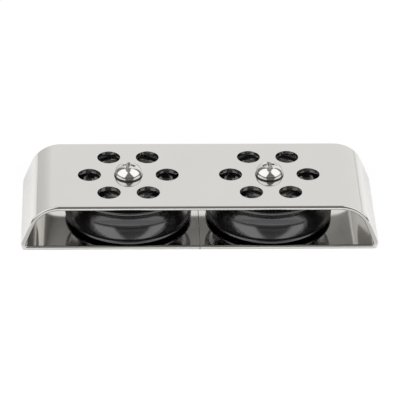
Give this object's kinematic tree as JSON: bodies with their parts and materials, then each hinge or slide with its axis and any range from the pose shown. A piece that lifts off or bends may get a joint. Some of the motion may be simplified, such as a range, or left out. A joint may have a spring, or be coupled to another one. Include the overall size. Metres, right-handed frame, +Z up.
{
  "type": "rope deck organizer",
  "caption": "Low deck organizer: a folded stainless band with flushing holes houses grooved rope sheaves side by side, each turning on a roller bearing about its mounting screw.",
  "frame": {"origin": "centre of the base's underside, where it rests on the deck, midway between the two screws", "axes": "+X along the row of sheaves, +Y along the ropes, +Z up out of the deck, towards the cover"},
  "size_m": [0.1508, 0.054, 0.0395],
  "materials": {
    "housing_stainless": "polished stainless sheet",
    "screw_stainless": "bright polished stainless steel",
    "sheave_black": "smooth black acetal",
    "retainer_black": "satin black acetal",
    "seal_black": "black nylon",
    "bearing_steel": "ground stainless steel",
    "roller_steel": "ground stainless steel",
    "washer_steel": "stamped stainless steel",
    "cage_nylon": "natural nylon"
  },
  "bodies": {
    "frame": {"housing": "housing_stainless", "left_hub_sleeve": "bearing_steel", "left_upper_washer": "washer_steel", "left_lower_washer": "washer_steel", "left_seal_washer": "seal_black", "left_screw": "screw_stainless", "right_hub_sleeve": "bearing_steel", "right_upper_washer": "washer_steel", "right_lower_washer": "washer_steel", "right_seal_washer": "seal_black", "right_screw": "screw_stainless"},
    "left_sheave": {"left_sheave": "sheave_black", "left_outer_race": "bearing_steel", "left_upper_retainer": "retainer_black", "left_lower_retainer": "retainer_black"},
    "left_bearing": {"left_roller_cage": "cage_nylon", "left_rollers": "roller_steel"},
    "right_sheave": {"right_sheave": "sheave_black", "right_outer_race": "bearing_steel", "right_upper_retainer": "retainer_black", "right_lower_retainer": "retainer_black"},
    "right_bearing": {"right_roller_cage": "cage_nylon", "right_rollers": "roller_steel"}
  },
  "joints": [
    {"name": "left_sheave_spin", "type": "hinge", "parent": "frame", "child": "left_sheave", "pos_m": [-0.03, 0, 0.0111], "axis": [0, 0, 1], "continuous": true},
    {"name": "left_rollers_orbit", "type": "hinge", "parent": "frame", "child": "left_bearing", "pos_m": [-0.03, 0, 0.0111], "axis": [0, 0, 1], "continuous": true},
    {"name": "right_sheave_spin", "type": "hinge", "parent": "frame", "child": "right_sheave", "pos_m": [0.03, 0, 0.0111], "axis": [0, 0, 1], "continuous": true},
    {"name": "right_rollers_orbit", "type": "hinge", "parent": "frame", "child": "right_bearing", "pos_m": [0.03, 0, 0.0111], "axis": [0, 0, 1], "continuous": true}
  ],
  "couplings": [
    {"joint": "left_rollers_orbit", "follows": "left_sheave_spin", "ratio": 0.63235},
    {"joint": "right_rollers_orbit", "follows": "right_sheave_spin", "ratio": 0.63235}
  ]
}
